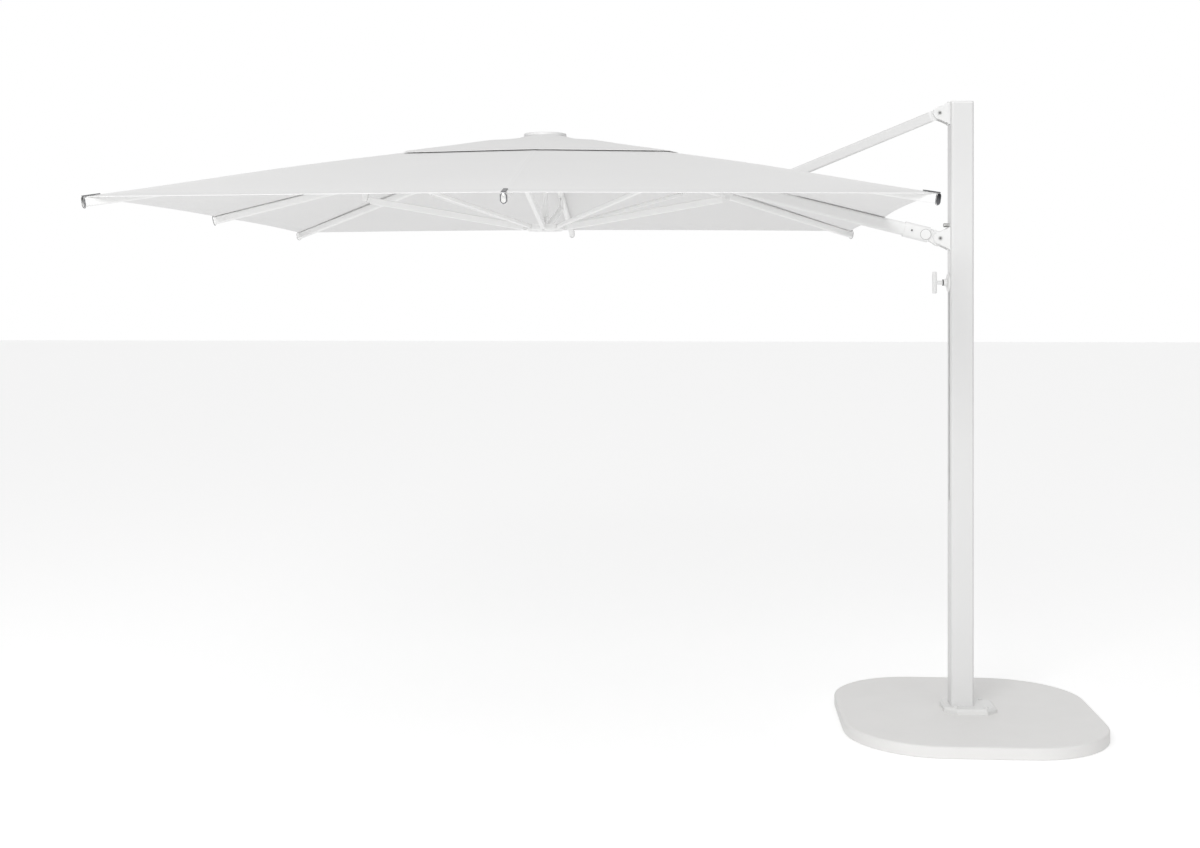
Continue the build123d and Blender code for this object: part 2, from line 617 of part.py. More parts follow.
with BuildPart() as top_cap:
    with BuildSketch(Plane((HUB_X, 0, TOP_CAP_Z))):
        Circle(TOP_CAP_R)
    extrude(amount=TOP_CAP_HEIGHT)
    fillet(top_cap.edges().group_by(Axis.Z)[-1], radius=6)
save(top_cap, "top_cap")

# ---------------------------------------------------------------- runner
RUNNER_HALF = 14.5
RUNNER_R = 83.0
with BuildPart() as runner_rod:
    with BuildSketch(Plane((HUB_X, 0, RUNNER_PIVOT_Z - RUNNER_HALF))):
        Circle(5)
    extrude(amount=170)
with BuildPart() as runner_disc:
    add(slotted_disc(RUNNER_PIVOT_Z, RUNNER_R, RUNNER_HALF, ALL_AZIMUTHS, 5.0, rim=9.0))
save(grouped(runner_disc.part, runner_rod.part), "runner_hub")
save(
    grouped(*[rod(upright(a), PIVOT_R, RUNNER_PIVOT_Z, PIN, -13, 13) for a in ALL_AZIMUTHS]),
    "runner_pins",
)


# ---------------------------------------------------------------- canopy cloth
def cloth_half(azimuth, rib_end, split_side, split_z, inner_half, outer_half, lift, start_radius=0.0):
    """Flat cloth between a rib line and the line where its sector ends, as a sheet of even depth."""
    apex = Vector(HUB_X, 0, APEX_Z + lift)
    split_azimuth = azimuth + split_side * SECTOR_HALF_ANGLE
    rib_r, rib_z = rib_end
    a, s = radians(azimuth), radians(split_azimuth)
    rib_far = Vector(HUB_X + rib_r * cos(a), rib_r * sin(a), rib_z + lift)
    split_r = CANOPY_HALF / max(abs(cos(s)), abs(sin(s)))
    split_far = Vector(HUB_X + split_r * cos(s), split_r * sin(s), split_z + lift)

    def reach(end, half):
        share = (start_radius / (end - apex).length) if half is None else half / CANOPY_HALF
        return apex + (end - apex) * share

    corners = [
        reach(rib_far, inner_half),
        reach(rib_far, outer_half),
        reach(split_far, outer_half),
        reach(split_far, inner_half),
    ]
    normal = (rib_far - apex).cross(split_far - apex)
    sheet = Plane(origin=apex, x_dir=rib_far - apex, z_dir=normal)
    with BuildPart() as cloth:
        with BuildSketch(sheet):
            with BuildLine():
                local = [sheet.to_local_coords(corner) for corner in corners]
                Polyline(*[(point.X, point.Y) for point in local], close=True)
            make_face()
        extrude(amount=FABRIC, dir=(0, 0, -1))
    return cloth.part


def split_height(family, other):
    """The cloth's height where two sectors meet at its edge, on the straight hem between two ribs."""
    share = (sqrt(2) - 1) if family != "corner" else (2 - sqrt(2))
    return EDGE_Z[family] + (EDGE_Z[other] - EDGE_Z[family]) * share


def make_sector(name, azimuth, family, neighbours):
    rib_r = DIAGONAL if family == "corner" else CANOPY_HALF
    rib_end = (rib_r, EDGE_Z[family])
    main, vent = [], []
    for side, other in zip((-1, 1), neighbours):
        height = split_height(family, other)
        main.append(cloth_half(azimuth, rib_end, side, height, OPENING_HALF, CANOPY_HALF, 0.0))
        vent.append(cloth_half(azimuth, rib_end, side, height, None, VENT_HALF, VENT_LIFT, VENT_START))
    if family == "boom":
        with BuildPart() as slit:
            with BuildSketch(Plane.XY.offset(2200)):
                with Locations((HUB_X + (lug_from + lug_to) / 2, 0)):
                    RectangleRounded(lug_to - lug_from + 40, 60, 20)
            extrude(amount=300)
        with BuildPart() as main_cloth:
            add(main)
            add(slit.part, mode=Mode.SUBTRACT)
        main = [main_cloth.part]
    save(grouped(joined(*main).part, joined(*vent).part), f"canopy_{name}")


make_sector("boom", BOOM_AZIMUTH, "boom", ("corner", "corner"))
for name, azimuth in MIDS.items():
    make_sector(name, azimuth, "mid", ("corner", "corner"))
for name, azimuth in CORNERS.items():
    beside = {"near_right": ("mid", "boom"), "far_right": ("boom", "mid")}.get(name, ("mid", "mid"))
    make_sector(name, azimuth, "corner", beside)
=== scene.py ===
"""Cantilever parasol: cloth, hardware finishes, light and camera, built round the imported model.

Metres, +Z up.
"""

import json
import math

import bmesh
import bpy
from mathutils import Matrix, Vector


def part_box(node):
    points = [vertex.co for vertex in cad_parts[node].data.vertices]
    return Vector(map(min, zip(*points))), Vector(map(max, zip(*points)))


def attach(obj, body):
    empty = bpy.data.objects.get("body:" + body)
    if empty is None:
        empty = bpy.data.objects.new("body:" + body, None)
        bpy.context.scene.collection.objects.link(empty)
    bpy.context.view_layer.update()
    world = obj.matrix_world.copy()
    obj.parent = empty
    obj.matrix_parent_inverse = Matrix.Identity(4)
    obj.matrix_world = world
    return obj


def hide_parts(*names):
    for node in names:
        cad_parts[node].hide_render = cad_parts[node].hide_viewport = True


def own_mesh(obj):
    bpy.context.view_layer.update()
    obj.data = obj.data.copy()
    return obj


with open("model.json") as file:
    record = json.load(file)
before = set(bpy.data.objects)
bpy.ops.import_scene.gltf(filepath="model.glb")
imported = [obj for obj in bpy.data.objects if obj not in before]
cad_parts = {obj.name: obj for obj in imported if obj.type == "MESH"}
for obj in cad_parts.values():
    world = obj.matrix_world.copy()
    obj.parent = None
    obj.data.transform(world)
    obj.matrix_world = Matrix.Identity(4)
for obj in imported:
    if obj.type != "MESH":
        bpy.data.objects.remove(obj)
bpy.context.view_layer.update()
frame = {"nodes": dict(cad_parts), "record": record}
NODES = frame["nodes"]


def middle(node):
    low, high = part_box(node)
    return (low + high) / 2


# ---------------------------------------------------------------- sizes
HUB = Vector((middle("top_cap").x, 0, 0))
HALF = 1.5  # half of the canopy's side
APEX_Z = 2.581  # where the cloth's flat faces would meet on the canopy axis
EDGE_Z = {"mid": 2.221, "corner": 2.211, "boom": 2.207}
OPENING_HALF = 0.42
VENT_HALF = 0.565
VENT_LIFT = 0.0075
VENT_SHIFT = 0.034  # the loose vent cloth sits a little towards the boom
CAP_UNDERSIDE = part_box("top_cap")[0].z
RING_R = 0.0935  # the vent cloth is held under the top cap at this radius

CLOTH = 0.0013
HEM_WIDTH = 0.028
VENT_HEM_WIDTH = 0.022
HEM_EXTRA = 0.0012
SEAM_HALF = 0.010
SEAM_EXTRA = 0.0008
VENT_SEAM_SCALE = 0.6
VENT_ROUND_END = 0.24  # inside this the vent cloth's rows are close together
VENT_CONE_SLOPE = 0.236  # fall of the vent cloth near the cap, per metre out
CAP_GAP = 0.0006
FLARE_REACH = 0.019
EDGE_BOW = 0.017  # the hem is cut hollow between two ribs
VENT_BOW = 0.062
MID_SAG = 0.009
RIB_ARCH = 0.007  # the corner ribs bend up a little under load

MIDS = {"boom": 0, "far": 90, "left": 180, "near": -90}
CORNERS = {"far_right": 45, "far_left": 135, "near_left": -135, "near_right": -45}
TAN_SPLIT = math.tan(math.radians(22.5))


def body_of_sector(name):
    return "boom" if name == "boom" else f"rib_{name}"


# ---------------------------------------------------------------- cloth surface
def smooth(value):
    value = min(1.0, max(0.0, value))
    return value * value * (3 - 2 * value)


def taut_height(x, y):
    """Height of the stretched main cloth's top face at a plan position from the canopy axis."""
    s, t = max(abs(x), abs(y)), min(abs(x), abs(y))
    if s == 0:
        return APEX_Z
    middle_z = EDGE_Z["boom"] if x > abs(y) else EDGE_Z["mid"]
    share = t / s
    between = 4 * share * (1 - share)
    reach = s / HALF
    edge = (1 - share) * middle_z + share * EDGE_Z["corner"]
    sag = MID_SAG * between * smooth((reach - 0.25) / 0.4) * (1 - 0.8 * reach**8)
    arch = RIB_ARCH * share**2 * math.sin(math.pi * smooth((reach - 0.2) / 0.78))
    return APEX_Z - (APEX_Z - edge) * reach - sag + arch


def square_point(mid_azimuth, side, s, t, bow):
    """Plan position on a square ring, t along the side from its middle; the ring is hollow by bow."""
    a = math.radians(mid_azimuth)
    out, along = Vector((math.cos(a), math.sin(a), 0)), Vector((-math.sin(a), math.cos(a), 0))
    share = t / s
    cut = (s - bow * 4 * share * (1 - share)) / s
    return (out * s + along * side * t) * cut


def main_top(mid_azimuth, side, s, t):
    plan = square_point(mid_azimuth, side, s, t, EDGE_BOW * (s / HALF) ** 4)
    return HUB + plan + Vector((0, 0, taut_height(plan.x, plan.y)))


def vent_top(mid_azimuth, side, s, t):
    """Square at its hem and round where it is gathered under the top cap, where it flares up."""
    share = s / VENT_HALF
    a = math.radians(mid_azimuth)
    out, along = Vector((math.cos(a), math.sin(a), 0)), Vector((-math.sin(a), math.cos(a), 0))
    hollow = VENT_BOW * (1 - (t / s) ** 2) * share**3
    square = out * (s - hollow) + along * side * t * (s - hollow * 0.5) / s
    blend = smooth((s - RING_R) / 0.2)
    plan = square.normalized() * (square.length * blend + s * (1 - blend))
    radius = plan.length
    plan.x += VENT_SHIFT * share**2
    faceted = taut_height(plan.x, plan.y) + VENT_LIFT
    round_top = APEX_Z + VENT_LIFT - VENT_CONE_SLOPE * radius
    lean = smooth((radius - 0.10) / 0.24)
    height = faceted * lean + round_top * (1 - lean)
    flare = CAP_UNDERSIDE - CAP_GAP - (APEX_Z + VENT_LIFT - VENT_CONE_SLOPE * RING_R)
    height += flare * math.exp(-(radius - RING_R) / FLARE_REACH)
    return HUB + plan + Vector((0, 0, height))


def end_height(azimuth):
    if azimuth % 90:
        return EDGE_Z["corner"]
    return EDGE_Z["boom"] if azimuth % 360 == 0 else EDGE_Z["mid"]


def columns(reach, seam):
    """Distances from the rib line: close together over the seam, then even out to the sector's edge."""
    near = [0.0, seam * 0.55, seam * 0.9, seam * 1.1]
    count = 14
    return near + [near[-1] + (reach - near[-1]) * (i + 1) / count for i in range(count)]


def rows(first, last, hem, count):
    """Square distances from the inner edge to the outer one, close together over the hem."""
    body = [first + (last - hem * 1.08 - first) * i / count for i in range(count + 1)]
    return body + [last - hem * 0.97, last - hem * 0.5, last - 0.0012, last]


def sheet_mesh(name, azimuth, top, row_list, hem_from, seam_scale=1.0):
    """One sector of cloth, as a closed thin shell with a raised seam on the rib line and a doubled hem.
    Its UV map is in metres: across from the rib line, and out from the canopy axis."""
    corner = azimuth % 90 != 0
    verts, uvs, grid = [], [], []
    for s in row_list:
        reach = s * (1 - TAN_SPLIT) if corner else s * TAN_SPLIT
        offsets = columns(reach, SEAM_HALF * seam_scale)
        line = []
        for side, offset in [(-1, o) for o in reversed(offsets[1:])] + [(1, o) for o in offsets]:
            if corner:
                point = top(azimuth + side * 45, -side, s, s - offset)
            else:
                point = top(azimuth, side, s, offset)
            extra = SEAM_EXTRA if offset < SEAM_HALF * seam_scale else 0.0
            extra += HEM_EXTRA if s > hem_from else 0.0
            line.append((point, extra, (side * offset, s)))
        grid.append(line)
    width = len(grid[0])
    for layer in (0, 1):
        for line in grid:
            for point, extra, uv in line:
                lift = extra * 0.5 if layer == 0 else -CLOTH - extra * 0.5
                verts.append(point + Vector((0, 0, lift)))
                uvs.append(uv)
    size = width * len(grid)
    faces = []
    for i in range(len(grid) - 1):
        for j in range(width - 1):
            a, b = i * width + j, i * width + j + 1
            c, d = b + width, a + width
            faces.append((a, d, c, b))
            faces.append((a + size, b + size, c + size, d + size))
    rim = list(range(width))
    rim += [i * width + width - 1 for i in range(1, len(grid))]
    rim += [(len(grid) - 1) * width + j for j in range(width - 2, -1, -1)]
    rim += [i * width for i in range(len(grid) - 2, 0, -1)]
    for a, b in zip(rim, rim[1:] + rim[:1]):
        faces.append((a, b, b + size, a + size))
    mesh = bpy.data.meshes.new(name)
    mesh.from_pydata([tuple(v) for v in verts], [], faces)
    uv_map = mesh.uv_layers.new(name="metres")
    for loop in mesh.loops:
        uv_map.data[loop.index].uv = uvs[loop.vertex_index]
    build = bmesh.new()
    build.from_mesh(mesh)
    bmesh.ops.recalc_face_normals(build, faces=build.faces)
    build.to_mesh(mesh)
    build.free()
    mesh.shade_smooth()
    mesh.set_sharp_from_angle(angle=math.radians(40))
    piece = bpy.data.objects.new(name, mesh)
    bpy.context.scene.collection.objects.link(piece)
    return piece


# ---------------------------------------------------------------- materials
class Shader:
    """A node material with one Principled shader, and short ways to add nodes to it."""

    def __init__(self, name, color, roughness, metallic=0.0):
        self.material = bpy.data.materials.new(name)
        self.material.use_nodes = True
        self.tree = self.material.node_tree
        self.main = self.tree.nodes["Principled BSDF"]
        self.main.inputs["Base Color"].default_value = (*color, 1)
        self.main.inputs["Roughness"].default_value = roughness
        self.main.inputs["Metallic"].default_value = metallic
        self.coordinates = self.tree.nodes.new("ShaderNodeTexCoord")

    def add(self, kind, settings=None, **inputs):
        node = self.tree.nodes.new(kind)
        for key, value in (settings or {}).items():
            setattr(node, key, value)
        for key, value in inputs.items():
            numbered = key.startswith("i") and key[1:].isdigit()
            socket = node.inputs[int(key[1:]) if numbered else key.replace("_", " ")]
            if isinstance(value, bpy.types.NodeSocket):
                self.tree.links.new(value, socket)
            else:
                socket.default_value = value
        return node

    def math(self, operation, a, b=0.0, c=0.0):
        return self.add("ShaderNodeMath", {"operation": operation}, i0=a, i1=b, i2=c).outputs[0]

    def noise(self, scale, detail=3.0, source="Object"):
        vector = self.coordinates.outputs[source]
        return self.add("ShaderNodeTexNoise", Vector=vector, Scale=scale, Detail=detail).outputs["Fac"]

    def map(self, value, low, high):
        return self.add("ShaderNodeMapRange", Value=value, To_Min=low, To_Max=high).outputs["Result"]

    def mix(self, factor, a, b):
        node = self.add("ShaderNodeMix", {"data_type": "RGBA"})
        for socket, value in ((node.inputs[0], factor), (node.inputs[6], a), (node.inputs[7], b)):
            if isinstance(value, bpy.types.NodeSocket):
                self.tree.links.new(value, socket)
            else:
                socket.default_value = value if isinstance(value, float) else (*value, 1)
        return node.outputs[2]

    def color(self, socket):
        self.tree.links.new(socket, self.main.inputs["Base Color"])

    def roughness(self, socket):
        self.tree.links.new(socket, self.main.inputs["Roughness"])

    def bump(self, height, distance, strength=1.0):
        node = self.add("ShaderNodeBump", Height=height, Distance=distance, Strength=strength)
        self.tree.links.new(node.outputs["Normal"], self.main.inputs["Normal"])


def powder_coat(name, color, roughness=0.36):
    """Satin powder coat: fine orange peel and a faint change of tone."""
    shader = Shader(name, color, roughness)
    shader.main.inputs["Coat Weight"].default_value = 0.15
    shader.main.inputs["Coat Roughness"].default_value = 0.25
    tone = shader.noise(3.0)
    darker = tuple(c * 0.965 for c in color)
    shader.color(shader.mix(tone, color, darker))
    shader.roughness(shader.map(shader.noise(60.0), roughness - 0.05, roughness + 0.07))
    shader.bump(shader.noise(1400.0, 2.0), 0.00012, 0.35)
    return shader.material


def bare_metal(name, color, roughness, brushed=True):
    shader = Shader(name, color, roughness, 1.0)
    if brushed:
        stretch = shader.add(
            "ShaderNodeMapping", Vector=shader.coordinates.outputs["Object"], Scale=(60.0, 60.0, 2500.0)
        )
        noise = shader.add("ShaderNodeTexNoise", Vector=stretch.outputs[0], Scale=1.0, Detail=2.0)
        streak = noise.outputs["Fac"]
        shader.roughness(shader.map(streak, roughness - 0.07, roughness + 0.12))
        shader.bump(streak, 0.00005, 0.5)
    else:
        shader.roughness(shader.map(shader.noise(90.0), roughness - 0.04, roughness + 0.08))
        shader.bump(shader.noise(900.0), 0.00004, 0.4)
    return shader.material


THREAD = 0.00085  # spacing of the weave


def awning_cloth(name, color, hem_at, seam_half=SEAM_HALF):
    """Plain woven acrylic. Threads, seam stitches and hem stitches are placed by the UV map in metres."""
    shader = Shader(name, color, 0.86)
    shader.main.inputs["Sheen Weight"].default_value = 0.12
    shader.main.inputs["Sheen Roughness"].default_value = 0.5
    uv = shader.coordinates.outputs["UV"]
    split = shader.add("ShaderNodeSeparateXYZ", Vector=uv)
    across, out = split.outputs[0], split.outputs[1]
    turns = 2 * math.pi / THREAD
    warp = shader.math("SINE", shader.math("MULTIPLY", across, turns))
    weft = shader.math("SINE", shader.math("MULTIPLY", out, turns))
    weave = shader.math("MULTIPLY", warp, weft)

    def stitches(distance, run):
        """A dashed line of thread where distance is zero, along run."""
        near = shader.math("LESS_THAN", shader.math("ABSOLUTE", distance), 0.0006)
        dash = shader.math("LESS_THAN", shader.math("FRACT", shader.math("MULTIPLY", run, 260.0)), 0.72)
        return shader.math("MULTIPLY", near, dash)

    from_rib = shader.math("ABSOLUTE", across)
    lines = stitches(shader.math("SUBTRACT", from_rib, seam_half * 0.72), out)
    for inset in (HEM_WIDTH * 0.82, HEM_WIDTH * 0.62):
        row = stitches(shader.math("SUBTRACT", out, hem_at - inset), across)
        lines = shader.math("MAXIMUM", lines, row)
    tone = shader.mix(shader.noise(2.2, 4.0), color, tuple(c * 0.955 for c in color))
    slub = shader.mix(shader.map(shader.noise(420.0), -0.1, 0.35), tone, tuple(c * 0.90 for c in color))
    shader.color(shader.mix(lines, slub, tuple(min(1.0, c * 1.07) for c in color)))
    height = shader.math("ADD", shader.math("MULTIPLY", weave, 0.25), shader.math("MULTIPLY", lines, 1.0))
    height = shader.math("ADD", height, shader.math("MULTIPLY", shader.noise(38.0), 1.4))
    shader.bump(height, 0.00022, 0.5)
    return shader.material


def cast_slab(name, color):
    """Smooth pale composite with fine pores and a slightly mottled tone."""
    shader = Shader(name, color, 0.55)
    mottle = shader.mix(shader.noise(7.0, 6.0), color, tuple(c * 0.95 for c in color))
    grain = shader.noise(520.0, 2.0)
    pores = shader.math("LESS_THAN", grain, 0.33)
    shader.color(shader.mix(shader.math("MULTIPLY", pores, 0.35), mottle, tuple(c * 0.86 for c in color)))
    shader.roughness(shader.map(shader.noise(40.0), 0.46, 0.66))
    shader.bump(grain, 0.00025, 0.35)
    return shader.material


WHITE = (0.86, 0.86, 0.856)
# A darker copy of the frame's white for the mast and the tie: painted shade.
MAST_PAINTED_SHADE_WHITE = (0.775, 0.775, 0.772)
# A lighter copy of the frame's white for the parts under the canopy: painted light against the canopy's
# shade.
UNDER_CANOPY_PAINTED_LIGHT_WHITE = (0.95, 0.95, 0.945)
CLOTH_COLOR = (0.83, 0.828, 0.825)
M = {
    "white_frame": powder_coat("white_frame", WHITE),
    # Painted shade: the frame's white made darker for the mast and the tie.
    "mast_painted_shade_white": powder_coat("mast_painted_shade_white", MAST_PAINTED_SHADE_WHITE, 0.30),
    # Painted light: the frame's white made lighter for the parts in the canopy's shade.
    "under_canopy_painted_light_white": powder_coat("under_canopy_painted_light_white", UNDER_CANOPY_PAINTED_LIGHT_WHITE, 0.34),
    # Painted shade round the rims of the sleeve's round covers.
    "rim_shade_grey": powder_coat("rim_shade_grey", (0.34, 0.34, 0.34), 0.5),
    # Painted shade for the bolts' hex sockets.
    "socket_dark": powder_coat("socket_dark", (0.14, 0.14, 0.145), 0.45),
    "clamp_parts": powder_coat("clamp_parts", (0.87, 0.87, 0.865), 0.32),
    "foot_steel": powder_coat("foot_steel", (0.82, 0.82, 0.81), 0.42),
    "bare_steel": bare_metal("bare_steel", (0.58, 0.58, 0.57), 0.32),
    "tip_metal": bare_metal("tip_metal", (0.16, 0.16, 0.17), 0.30, brushed=False),
    # Painted highlight on the ends of some of the rib tip caps.
    "painted_highlight_steel": bare_metal("painted_highlight_steel", (0.80, 0.80, 0.79), 0.22, brushed=False),
    "black_ring": powder_coat("black_ring", (0.03, 0.03, 0.03), 0.5),
    "base_concrete": cast_slab("base_concrete", (0.85, 0.843, 0.832)),
    "main_cloth": awning_cloth("main_cloth", CLOTH_COLOR, HALF),
    "vent_cloth": awning_cloth("vent_cloth", CLOTH_COLOR, VENT_HALF),
}


def paint(piece, material):
    piece.data.materials.clear()
    piece.data.materials.append(M[material])


UNDER_CANOPY = ("rib_", "strut_", "runner_", "crown_", "canopy_pole")
SLOT_OF = {part["node"]: part["material_slot"] for part in frame["record"]["subparts"]}
for node, piece in NODES.items():
    slot = SLOT_OF[node]
    # Parts under the canopy take the lighter copy of the frame's white, painted light against their shade.
    if slot == "white_frame" and node.startswith(UNDER_CANOPY):
        slot = "under_canopy_painted_light_white"
    # The mast and the tie take the darker copy of the frame's white: painted shade.
    elif node in ("mast", "tie_tube"):
        slot = "mast_painted_shade_white"
    paint(piece, "main_cloth" if slot == "canopy_cloth" else slot)


# ---------------------------------------------------------------- canopy
def fold_in(piece):
    """Gives the piece its own copy of its mesh."""
    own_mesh(piece)


def cut_slit(piece):
    """Opening in the boom's sector where the tie's lug comes through, with a rounded outline."""
    low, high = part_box("boom_tie_lug")
    length, width = high.x - low.x + 0.030, 0.056
    cutter_mesh = bpy.data.meshes.new("slit_cutter")
    build = bmesh.new()
    bmesh.ops.create_cube(build, size=1.0)
    centre = Matrix.Translation(((low.x + high.x) / 2, 0, 2.35))
    bmesh.ops.transform(build, matrix=centre @ Matrix.Diagonal((length, width, 0.5, 1)), verts=build.verts)
    upright = [e for e in build.edges if abs(e.verts[0].co.z - e.verts[1].co.z) > 0.1]
    bmesh.ops.bevel(build, geom=upright, offset=width * 0.45, segments=6, affect="EDGES")
    build.to_mesh(cutter_mesh)
    build.free()
    cutter = bpy.data.objects.new("slit_cutter", cutter_mesh)
    bpy.context.scene.collection.objects.link(cutter)
    cut = piece.modifiers.new("slit", "BOOLEAN")
    cut.operation, cut.object, cut.solver = "DIFFERENCE", cutter, "EXACT"
    bpy.context.view_layer.update()
    evaluated = piece.evaluated_get(bpy.context.evaluated_depsgraph_get())
    opened = bpy.data.meshes.new_from_object(evaluated)
    opened.name = piece.name
    piece.modifiers.clear()
    piece.data = opened
    bpy.data.objects.remove(cutter)


MAIN_ROWS = rows(OPENING_HALF, HALF, HEM_WIDTH, 30)
VENT_ROWS = [RING_R + (VENT_ROUND_END - RING_R) * (i / 12) ** 1.6 for i in range(12)]
VENT_ROWS += rows(VENT_ROUND_END, VENT_HALF, VENT_HEM_WIDTH, 9)
for name, azimuth in {**MIDS, **CORNERS}.items():
    main = sheet_mesh(f"cloth_{name}", azimuth, main_top, MAIN_ROWS, HALF - HEM_WIDTH)
    paint(main, "main_cloth")
    if name == "boom":
        cut_slit(main)
        paint(main, "main_cloth")
    vent_hem = VENT_HALF - VENT_HEM_WIDTH
    vent = sheet_mesh(f"vent_{name}", azimuth, vent_top, VENT_ROWS, vent_hem, VENT_SEAM_SCALE)
    paint(vent, "vent_cloth")
    for piece in (main, vent):
        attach(piece, body_of_sector(name))
        fold_in(piece)
    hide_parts(f"canopy_{name}")


# ---------------------------------------------------------------- rib tip caps
def mesh_piece(name, build, material, body):
    mesh = bpy.data.meshes.new(name)
    bmesh.ops.recalc_face_normals(build, faces=build.faces)
    build.to_mesh(mesh)
    build.free()
    mesh.shade_smooth()
    mesh.set_sharp_from_angle(angle=math.radians(35))
    piece = bpy.data.objects.new(name, mesh)
    bpy.context.scene.collection.objects.link(piece)
    paint(piece, material)
    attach(piece, body)
    return piece


def rounded_block(build, size, place, radius, segments=3):
    """A block with all its edges rounded, put in place by a matrix."""
    made = bmesh.ops.create_cube(build, size=1.0)["verts"]
    bmesh.ops.transform(build, matrix=Matrix.Diagonal((*size, 1)), verts=made)
    edges = list({e for v in made for e in v.link_edges})
    result = bmesh.ops.bevel(build, geom=edges, offset=radius, segments=segments, affect="EDGES")
    verts = list({v for f in result["faces"] for v in f.verts} | {v for v in made if v.is_valid})
    bmesh.ops.transform(build, matrix=place, verts=verts)


def oval_plate(build, width, height, depth, place, bevel=0.0015):
    """An upright oval plate, depth thick along its local x, with bevelled rims."""
    steps = 40
    half = width / 2
    outline = []
    for i in range(steps):
        a = 2 * math.pi * i / steps
        rise = (height / 2 - half) * (1 if math.sin(a) >= 0 else -1)
        outline.append((half * math.cos(a), half * math.sin(a) + rise))
    rings = [(0, 1 - bevel * 2 / width), (bevel, 1.0), (depth - bevel, 1.0), (depth, 1 - bevel * 2 / width)]
    loops = []
    for x, scale in rings:
        loops.append([build.verts.new(place @ Vector((x, y * scale, z * scale))) for y, z in outline])
    for first, second in zip(loops, loops[1:]):
        for i in range(steps):
            j = (i + 1) % steps
            build.faces.new((first[i], first[j], second[j], second[i]))
    build.faces.new(loops[0])
    build.faces.new(loops[-1])


RIB_TIP_Z = {"mid": 2.200, "corner": 2.1905}
CAP_WIDTH, CAP_HEIGHT, CAP_DEPTH, CAP_CLEARANCE = 0.0274, 0.0446, 0.0048, 0.0008
# Size of the bright plate that is the caps' painted highlight.
INSET_WIDTH, INSET_HEIGHT, INSET_DEPTH = 0.0175, 0.0335, 0.0012
TAB_LENGTH, TAB_WIDTH, TAB_THICKNESS, TAB_RISE = 0.066, 0.018, 0.003, 0.0232
CAPS_WITHOUT_PAINTED_HIGHLIGHT = ("near_right", "far_right", "far_left")  # caps left without the painted highlight
for name, azimuth in {**MIDS, **CORNERS}.items():
    if name == "boom":
        continue
    corner = azimuth % 90 != 0
    tip_r = HALF * (math.sqrt(2) if corner else 1)
    slope = (APEX_Z - end_height(azimuth)) / tip_r
    a = math.radians(azimuth)
    out = Vector((math.cos(a), math.sin(a), -slope)).normalized()
    side = Vector((-math.sin(a), math.cos(a), 0))
    up = out.cross(side)
    tip = HUB + Vector((math.cos(a) * tip_r, math.sin(a) * tip_r, RIB_TIP_Z["corner" if corner else "mid"]))
    turn = Matrix((out, side, up)).transposed().to_4x4()
    build = bmesh.new()
    cap_place = Matrix.Translation(tip + out * CAP_CLEARANCE) @ turn
    oval_plate(build, CAP_WIDTH, CAP_HEIGHT, CAP_DEPTH, cap_place)
    tab_place = Matrix.Translation(tip + out * (CAP_DEPTH - TAB_LENGTH / 2) + up * TAB_RISE) @ turn
    rounded_block(build, (TAB_LENGTH, TAB_WIDTH, TAB_THICKNESS), tab_place, 0.0012)
    mesh_piece(f"tip_cap_{name}", build, "tip_metal", body_of_sector(name))
    # Caps not listed get a bright steel plate on their ends: a painted highlight. The listed caps stay dark.
    if name in CAPS_WITHOUT_PAINTED_HIGHLIGHT:
        continue
    inset = bmesh.new()
    highlight_place = Matrix.Translation(tip + out * (CAP_DEPTH + 0.0006)) @ turn
    oval_plate(inset, INSET_WIDTH, INSET_HEIGHT, INSET_DEPTH, highlight_place, 0.0005)
    mesh_piece(f"tip_painted_highlight_{name}", inset, "painted_highlight_steel", body_of_sector(name))


# ---------------------------------------------------------------- bolt sockets and the clamp's ring
def round_band(build, radius, length, place, steps=6, bevel=0.0004):
    """A short solid of even section along its local x, with bevelled rims. Six steps make a hexagon."""
    loops = []
    for x, r in ((0, radius - bevel), (bevel, radius), (length - bevel, radius), (length, radius - bevel)):
        turns = [2 * math.pi * i / steps for i in range(steps)]
        loops.append([build.verts.new(place @ Vector((x, r * math.cos(a), r * math.sin(a)))) for a in turns])
    for first, second in zip(loops, loops[1:]):
        for i in range(steps):
            j = (i + 1) % steps
            build.faces.new((first[i], first[j], second[j], second[i]))
    build.faces.new(loops[0])
    build.faces.new(loops[-1])


def bolt_spots(node, wanted=lambda point: True):
    """Centres of a node's outer round faces on its near and far sides."""
    spots = []
    points = [NODES[node].matrix_world @ v.co for v in NODES[node].data.vertices]
    for side in (-1, 1):
        chosen = [p for p in points if p.y * side > 0 and wanted(p)]
        reach = max(p.y * side for p in chosen)
        rim = [p for p in chosen if p.y * side > reach - 0.0002]
        low = Vector(min(p[i] for p in rim) for i in range(3))
        high = Vector(max(p[i] for p in rim) for i in range(3))
        spots.append((side, (low + high) / 2))
    return spots


PIVOT_SOCKET_R, SLEEVE_SOCKET_R, SOCKET_DEPTH = 0.0052, 0.0048, 0.0009
COVER_RIM_SHADE_R, COVER_RIM_SHADE_DEPTH, COVER_PROUD = 0.0236, 0.0006, 0.0019
RING_X, CLAMP_RING_R, CLAMP_RING_LENGTH = -0.0795, 0.0142, 0.0050
trim_middle = middle("boom_sleeve_trim").x
SOCKETS = {
    "tie_pivot_bolt": ("root", bolt_spots("tie_pivot_bolt"), PIVOT_SOCKET_R),
    "carriage_pivot_bolt": ("carriage", bolt_spots("carriage_pivot_bolt"), PIVOT_SOCKET_R),
    "boom_sleeve_trim": (
        "boom",
        bolt_spots("boom_sleeve_trim", lambda p: p.x < trim_middle),
        SLEEVE_SOCKET_R,
    ),
}
